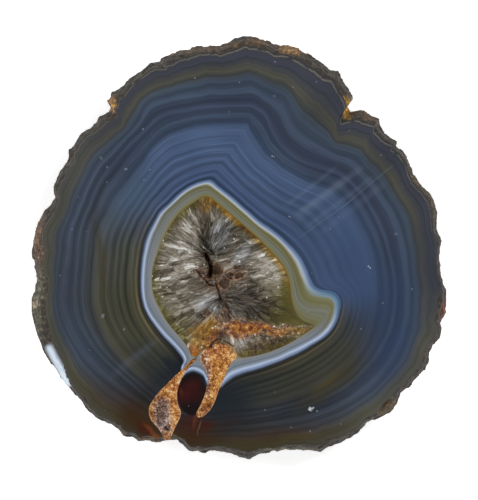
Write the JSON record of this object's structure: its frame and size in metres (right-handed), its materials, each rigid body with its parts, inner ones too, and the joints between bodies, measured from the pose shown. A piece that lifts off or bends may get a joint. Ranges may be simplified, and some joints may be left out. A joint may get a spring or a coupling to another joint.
{
  "type": "agate slice",
  "caption": "Polished slab of banded agate with a rough rind, a sawn flat back, a quartz-lined hollow and iron-stained channels.",
  "frame": {"origin": "middle of the slab's outline on its sawn back, which lies on the surface", "axes": "+Z out of the polished face, +Y up across the face as pictured, +X to its right"},
  "size_m": [0.104, 0.1061, 0.012],
  "materials": {
    "banded_chalcedony": "polished on the face, sawn on the back, rough rind round the edge",
    "drusy_quartz": "natural crystal faces, grey-white with iron stain"
  },
  "bodies": {
    "root": {"agate_slice": "banded_chalcedony", "quartz_crust": "drusy_quartz"}
  },
  "joints": []
}
